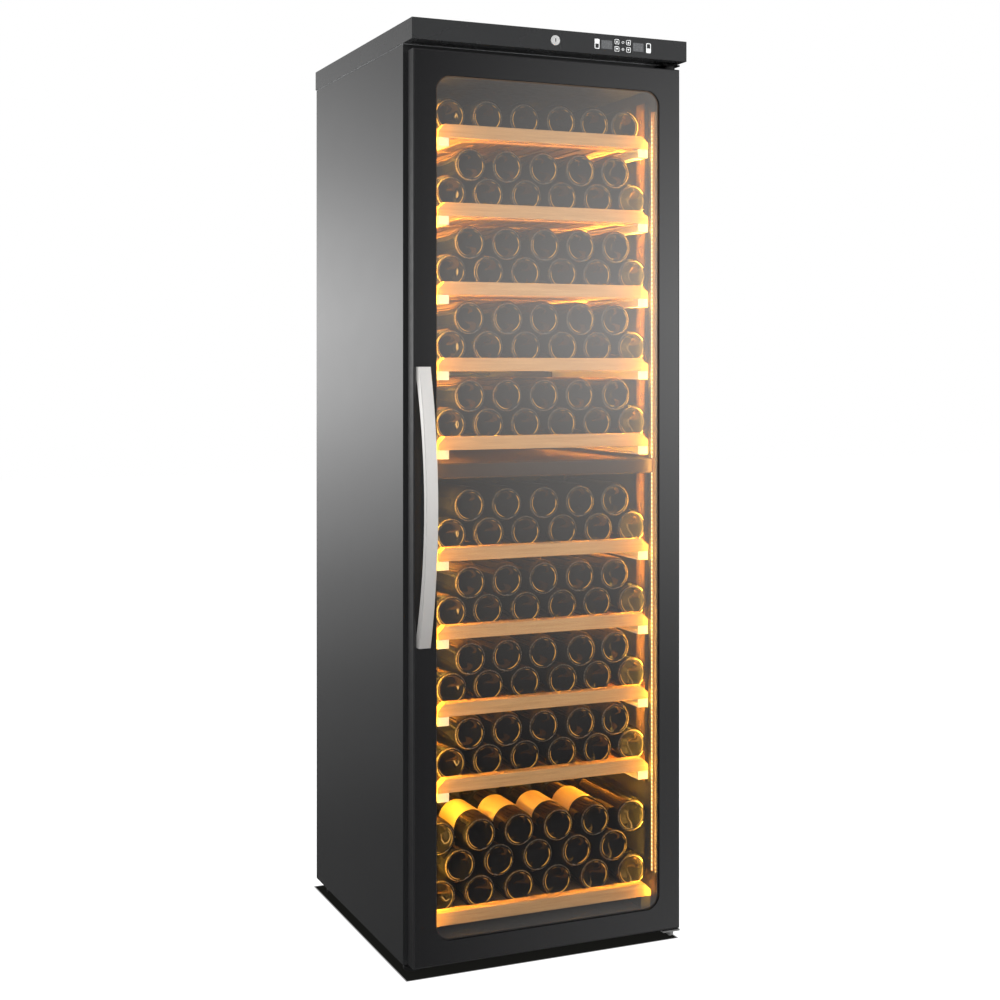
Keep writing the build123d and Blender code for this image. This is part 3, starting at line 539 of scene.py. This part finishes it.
# a flat ring with round corners that faces along Y; centre is X and Z
def flatRing(centre, size, radius, line, y, depth):
    mesh = bmesh.new()
    bmesh.ops.create_grid(mesh, x_segments=1, y_segments=1, size=0.5)
    bmesh.ops.rotate(mesh, verts=mesh.verts, matrix=Matrix.Rotation(math.pi / 2, 3, "X"))
    bmesh.ops.scale(mesh, vec=(size[0], 1, size[1]), verts=mesh.verts)
    bmesh.ops.bevel(mesh, geom=mesh.verts[:], offset=radius, offset_type="OFFSET", segments=6, profile=0.5,
                    affect="VERTICES", material=-1)
    bmesh.ops.translate(mesh, vec=(centre[0], y, centre[1]), verts=mesh.verts)
    ring = bmesh.ops.inset_region(mesh, faces=mesh.faces[:], thickness=line, use_boundary=True,
                                  use_even_offset=True)["faces"]
    bmesh.ops.delete(mesh, geom=[face for face in mesh.faces if face not in ring], context="FACES_ONLY")
    thicken(mesh, mesh.faces[:], depth)
    return mesh


def printedPlate(mesh, points, y, depth):
    corners = [mesh.verts.new((x, y, z)) for x, z in points]
    thicken(mesh, [mesh.faces.new(corners)], depth)


def faceOf(nodeName):
    # the middle of a key's front, as X and Z, and its Y
    low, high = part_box(nodeName)
    return ((low[0] + high[0]) / 2, (low[2] + high[2]) / 2), low[1]


# the printed marks on the cover's front
ink = iconInk()
inkDepth = -0.00012


def arrowMark(nodeName, sign):
    # a square outline with an arrow in it that points up or down
    look = {"side": 0.01, "radius": 0.0016, "line": 0.0009, "tip": 0.0021, "foot": 0.0016, "half": 0.0026}
    centre, y = faceOf(nodeName)
    mesh = flatRing(centre, (look["side"], look["side"]), look["radius"], look["line"], y, inkDepth)
    tip = (centre[0], centre[1] + sign * look["tip"])
    feet = [(centre[0] + side * look["half"], centre[1] - sign * look["foot"]) for side in (-1, 1)]
    printedPlate(mesh, [tip] + feet, y, inkDepth)
    finishPiece(nodeName + "_mark", mesh, ink, nodeName)


def roundMark(nodeName):
    # a circle with a short upright stroke in it
    look = {"side": 0.0052, "radius": 0.00259, "line": 0.0006, "stroke": (0.0003, 0.0011)}
    centre, y = faceOf(nodeName)
    mesh = flatRing(centre, (look["side"], look["side"]), look["radius"], look["line"], y, inkDepth)
    half, reach = look["stroke"]
    printedPlate(mesh, [(centre[0] + x * half, centre[1] + z * reach)
                        for x, z in ((-1, 1), (1, 1), (1, -1), (-1, -1))], y, inkDepth)
    finishPiece(nodeName + "_mark", mesh, ink, nodeName)


def zoneSymbol(name, x, upperHalf):
    # a small cabinet outline with one half filled in
    look = {"size": (0.0105, 0.0195), "radius": 0.002, "line": 0.0014, "gap": 0.0006, "z": 1.8145,
            "overlap": 0.8}
    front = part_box("top_cover")[0][1]
    mesh = flatRing((x, look["z"]), look["size"], look["radius"], look["line"], front, inkDepth)
    half, reach = [side / 2 - look["line"] * look["overlap"] for side in look["size"]]
    top, bottom = (reach, look["gap"]) if upperHalf else (-look["gap"], -reach)
    printedPlate(mesh, [(x + side * half, look["z"] + end)
                        for side, end in ((-1, top), (1, top), (1, bottom), (-1, bottom))], front, inkDepth)
    finishPiece(name, mesh, ink, "cabinet")


for zone in ("upper", "lower"):
    arrowMark(f"{zone}_zone_up_button", 1)
    arrowMark(f"{zone}_zone_down_button", -1)
roundMark("light_button")
roundMark("power_button")
zoneSymbol("upper_zone_symbol", 0.0937, True)
zoneSymbol("lower_zone_symbol", 0.2097, False)
print("controls printed")


# the thin rim printed round the window
def windowRim():
    look = {"size": (0.4852, 1.6592), "z": 0.9025, "radius": 0.03, "line": 0.0028, "depth": 0.0002,
            "behind": 0.0005}
    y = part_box("door_glass_border")[0][1] + look["behind"]
    mesh = flatRing((0, look["z"]), look["size"], look["radius"], look["line"], y, look["depth"])
    finishPiece("window_rim", mesh, windowRimPrintLitAbove(), "door")


windowRim()
print("window rim printed")


# bottles are contents: they ride on the shelves but are no part of the cooler
def bottleMesh(name, scale, finish):
    # distance from the base and radius, from the punt to the mouth
    outline = [(0.019, 0.0), (0.018, 0.005), (0.0145, 0.011), (0.0085, 0.0175), (0.004, 0.0225),
               (0.0012, 0.0262), (0.0002, 0.0276), (0.0, 0.0285), (0.0002, 0.0294), (0.0012, 0.0308),
               (0.0032, 0.0332), (0.0068, 0.0354), (0.0115, 0.0365), (0.03, 0.0368), (0.185, 0.0368),
               (0.2, 0.0355), (0.215, 0.0295), (0.225, 0.0215), (0.235, 0.0165), (0.25, 0.0148),
               (0.283, 0.0142), (0.284, 0.0152), (0.292, 0.0152), (0.293, 0.0142), (0.3, 0.014), (0.3, 0.0)]
    mesh = bmesh.new()
    verts = [mesh.verts.new((radius * scale, along * scale, 0)) for along, radius in outline]
    edges = [mesh.edges.new(pair) for pair in zip(verts, verts[1:])]
    bmesh.ops.spin(mesh, geom=verts + edges, cent=(0, 0, 0), axis=(0, 1, 0), dvec=(0, 0, 0),
                   angle=2 * math.pi, steps=40, use_merge=True)
    bmesh.ops.remove_doubles(mesh, verts=mesh.verts, dist=0.00002)
    bmesh.ops.recalc_face_normals(mesh, faces=mesh.faces)
    return meshData(name, mesh, finish, True)


def labelMesh(finish):
    # a paper wrap that goes two thirds of the way round the bottle
    look = {"from": 0.052, "to": 0.135, "radius": 0.0371, "sweep": 230, "paper": 0.00015}
    mesh = bmesh.new()
    verts = [mesh.verts.new((look["radius"], look[end], 0)) for end in ("from", "to")]
    edge = mesh.edges.new(verts)
    bmesh.ops.spin(mesh, geom=verts + [edge], cent=(0, 0, 0), axis=(0, 1, 0), dvec=(0, 0, 0),
                   angle=math.radians(look["sweep"]), steps=30)
    bmesh.ops.solidify(mesh, geom=mesh.faces[:], thickness=look["paper"])
    bmesh.ops.recalc_face_normals(mesh, faces=mesh.faces)
    return meshData("label", mesh, finish)


def placeBottle(data, body, place, turn):
    bottle = linkObject(data.name, data)
    bottle.matrix_world = Matrix.Translation(place) @ Matrix.Rotation(turn, 4, "Y")
    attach(bottle, body)


def fillShelves():
    # rows give the bottles' X; the bottom shelf holds three layers and the top one a single layer
    look = {"lower": (-0.184, -0.104, -0.023, 0.058, 0.139, 0.218),
            "upper": (-0.144, -0.063, 0.018, 0.099, 0.179),
            "single": (-0.185, -0.107, -0.025, 0.054, 0.130, 0.202),
            "floorLower": (-0.207, -0.122, -0.037, 0.048, 0.133, 0.216),
            "floorUpper": (-0.165, -0.08, 0.005, 0.09, 0.174),
            "radius": 0.0368, "base": -0.221, "rise": 0.0565, "bed": 0.015, "labelled": (-0.15, 0.18),
            "labelTurn": -205, "scales": {"wideBottle": 1.0, "slimBottle": 0.97}}
    random.seed(7)
    glass = bottleGlass()
    kinds = [bottleMesh(name, scale, glass) for name, scale in look["scales"].items()]
    label = labelMesh(paleLabelAmberLit())
    for number in range(1, 11):
        body = f"shelf_{number}"
        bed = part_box(body)[1][2] - look["bed"] + look["radius"]
        rows = {1: ["single"], 10: ["floorLower", "floorUpper", "floorLower"]}.get(number, ["lower", "upper"])
        for level, row in enumerate(rows):
            for x in look[row]:
                data = random.choice(kinds)
                place = (x, look["base"] + random.uniform(-0.003, 0.004), bed + look["rise"] * level)
                placeBottle(data, body, place, random.uniform(-0.6, 0.5))
                if level == 2 and look["labelled"][0] < x < look["labelled"][1]:
                    placeBottle(label, body, place, math.radians(look["labelTurn"]))


fillShelves()
print("shelves filled")


def floor():
    mesh = bmesh.new()
    bmesh.ops.create_grid(mesh, x_segments=2, y_segments=2, size=14)
    ground = linkObject("floor", meshData("floor", mesh, floorTone()))
    ground.visible_glossy = False


def areaLight(name, place, target, size, power, colour=(1, 1, 1)):
    # it lights the cooler without a reflection of its own
    lamp = bpy.data.lights.new(name, "AREA")
    lamp.shape = "RECTANGLE"
    lamp.size, lamp.size_y = size
    lamp.energy = power
    lamp.color = colour
    holder = linkObject(name, lamp)
    holder.location = place
    holder.rotation_euler = (Vector(target) - Vector(place)).to_track_quat("-Z", "Y").to_euler()
    holder.visible_glossy = False
    return holder


def beadGlow():
    # what the bottles mirror of a strip: a row of bright beads
    look = {"pitch": 0.0085, "strength": 75, "gap": rgb(0.25, 0.1, 0.02), "bead": rgb(1, 0.55, 0.14)}
    paint = Paint("beadGlow", {"Base Color": rgb(0, 0, 0), "Roughness": 1.0, "Specular IOR Level": 0.0,
                               "Emission Strength": look["strength"]})
    crests = paint.fade(paint.beads(look["pitch"]), -0.6, 0.8)
    paint.drive("Emission Color", paint.blend(crests, look["gap"], look["bead"]))
    return paint.material


# an upright sheet that only glossy surfaces see
def card(name, low, high, finish):
    mesh = bmesh.new()
    corners = [mesh.verts.new((x, y, z)) for x, y, z in (low, (high[0], low[1], low[2]), high,
                                                         (low[0], high[1], high[2]))]
    mesh.faces.new(corners)
    made = linkObject(name, meshData(name, mesh, finish))
    made.visible_camera = False
    made.visible_diffuse = False
    made.visible_shadow = False
    made.visible_transmission = False


def studio():
    # stops are height and tone: the case side mirrors a bright band at eye height
    sideStops = [(-1.5, 0.1), (-0.8, 0.13), (-0.2, 0.28), (0.25, 0.6), (0.65, 1.15), (1.05, 1.9), (1.4, 2.15),
                 (1.7, 1.75), (2.05, 1.1), (2.45, 0.68), (3.2, 0.4)]
    frontStops = [(-1.6, 0.32), (-1.2, 0.3), (-0.9, 0.24), (-0.3, 0.23), (0.1, 0.4), (0.5, 0.66), (1.0, 1.0),
                  (1.4, 1.12), (1.8, 0.88), (2.2, 0.58), (2.6, 0.36), (3.2, 0.3)]
    look = {
        "sideCard": {"low": (-3.2, 3.5, -1.6), "high": (0.6, 3.5, 3.4), "across": (-1.7, -1.2), "tones": (1, 1),
                     "stops": sideStops},
        "frontCard": {"low": (0.0, -3.5, -1.8), "high": (3.6, -3.5, 3.4), "across": (0.9, 2.1),
                      "tones": (0.09, 1), "stops": frontStops},
    }
    lamps = {"frontSoft": ((-2.4, -4.6, 2.2), (2.6, 2.6), 250), "rightSoft": ((2.6, -4.2, 2.0), (1.8, 2.6), 70),
             "leftSoft": ((-4.2, 2.4, 1.8), (1.2, 2.2), 45), "topSoft": ((0, 0, 5.0), (4, 4), 120)}
    world = bpy.data.worlds.new("studio")
    bpy.context.scene.world = world
    world.use_nodes = True
    background = world.node_tree.nodes["Background"]
    background.inputs["Color"].default_value = rgb(1, 1, 1)
    background.inputs["Strength"].default_value = 1.0
    world.cycles_visibility.glossy = False
    world.cycles_visibility.diffuse = False
    world.cycles_visibility.transmission = False
    for name, sheet in look.items():
        glow = cardGlow(name.replace("Card", "Glow"), sheet["stops"], sheet["across"], sheet["tones"])
        card(name, sheet["low"], sheet["high"], glow)
    for name, (place, size, power) in lamps.items():
        areaLight(name, place, (0, 0, 0.9), size, power)


# a lamp inside the cabinet that doesn't show itself
def hiddenLamp(name, place, target, size, power, colour):
    areaLight(name, place, target, size, power, colour).visible_camera = False


def stripLight():
    # the strips' light: lamps in front of and behind the shelf ends, and a low glow up under each shelf
    look = {"z": 0.885, "size": (0.012, 1.63), "colour": (1, 0.51, 0.05), "reach": 0.3,
            "lamps": ((0.2505, -0.262, 0.1, 8), (0.2405, -0.2225, 0.8, 14)),  # X, Y, turn to the back, power
            "mirror": {"x": 0.2495, "half": 0.003, "y": (-0.2605, -0.2545), "z": (0.136, 1.696)},
            "slats": {"inset": 0.028, "y": -0.02, "drop": 0.004, "rise": 0.016, "size": (0.36, 0.007),
                      "power": 1.2},
            "under": {"x": 0.01, "inset": 0.03, "drop": 0.012, "size": (0.42, 0.01), "power": 0.12}}
    slats, under, mirror = look["slats"], look["under"], look["mirror"]
    for side in (-1, 1):
        for x, y, turn, power in look["lamps"]:
            place = (side * x, y, look["z"])
            aim = (side * (x - look["reach"]), y + look["reach"] * turn, look["z"])
            hiddenLamp("strip", place, aim, look["size"], power, look["colour"])
        x = side * mirror["x"]
        card("stripMirror", (x - mirror["half"], mirror["y"][0], mirror["z"][0]),
             (x + mirror["half"], mirror["y"][1], mirror["z"][1]), beadGlow())
    for number in range(1, 10):
        low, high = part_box(f"shelf_{number}")
        for x, side in ((low[0] + slats["inset"], 1), (high[0] - slats["inset"], -1)):
            place = (x, slats["y"], low[2] - slats["drop"])
            aim = (x + side * 0.2, slats["y"], place[2] + slats["rise"])
            hiddenLamp("slatGlow", place, aim, slats["size"], slats["power"], look["colour"])
        place = (under["x"], low[1] + under["inset"], low[2] - under["drop"])
        aim = (place[0], place[1] + 0.1, place[2] + 0.07)
        hiddenLamp("underGlow", place, aim, under["size"], under["power"], look["colour"])


def camera():
    look = {"place": (-1.3417, -3.1438, 1.1742), "yaw": -23.35, "lens": 57.57, "shift": -0.1338}
    data = bpy.data.cameras.new("camera")
    data.lens = look["lens"]
    data.sensor_width = 36
    data.shift_y = look["shift"]
    holder = linkObject("camera", data)
    holder.location = look["place"]
    holder.rotation_euler = Euler((math.radians(90), 0, math.radians(look["yaw"])))
    bpy.context.scene.camera = holder


floor()
studio()
stripLight()
camera()
bpy.context.scene.view_settings.view_transform = "Standard"
print("studio set")
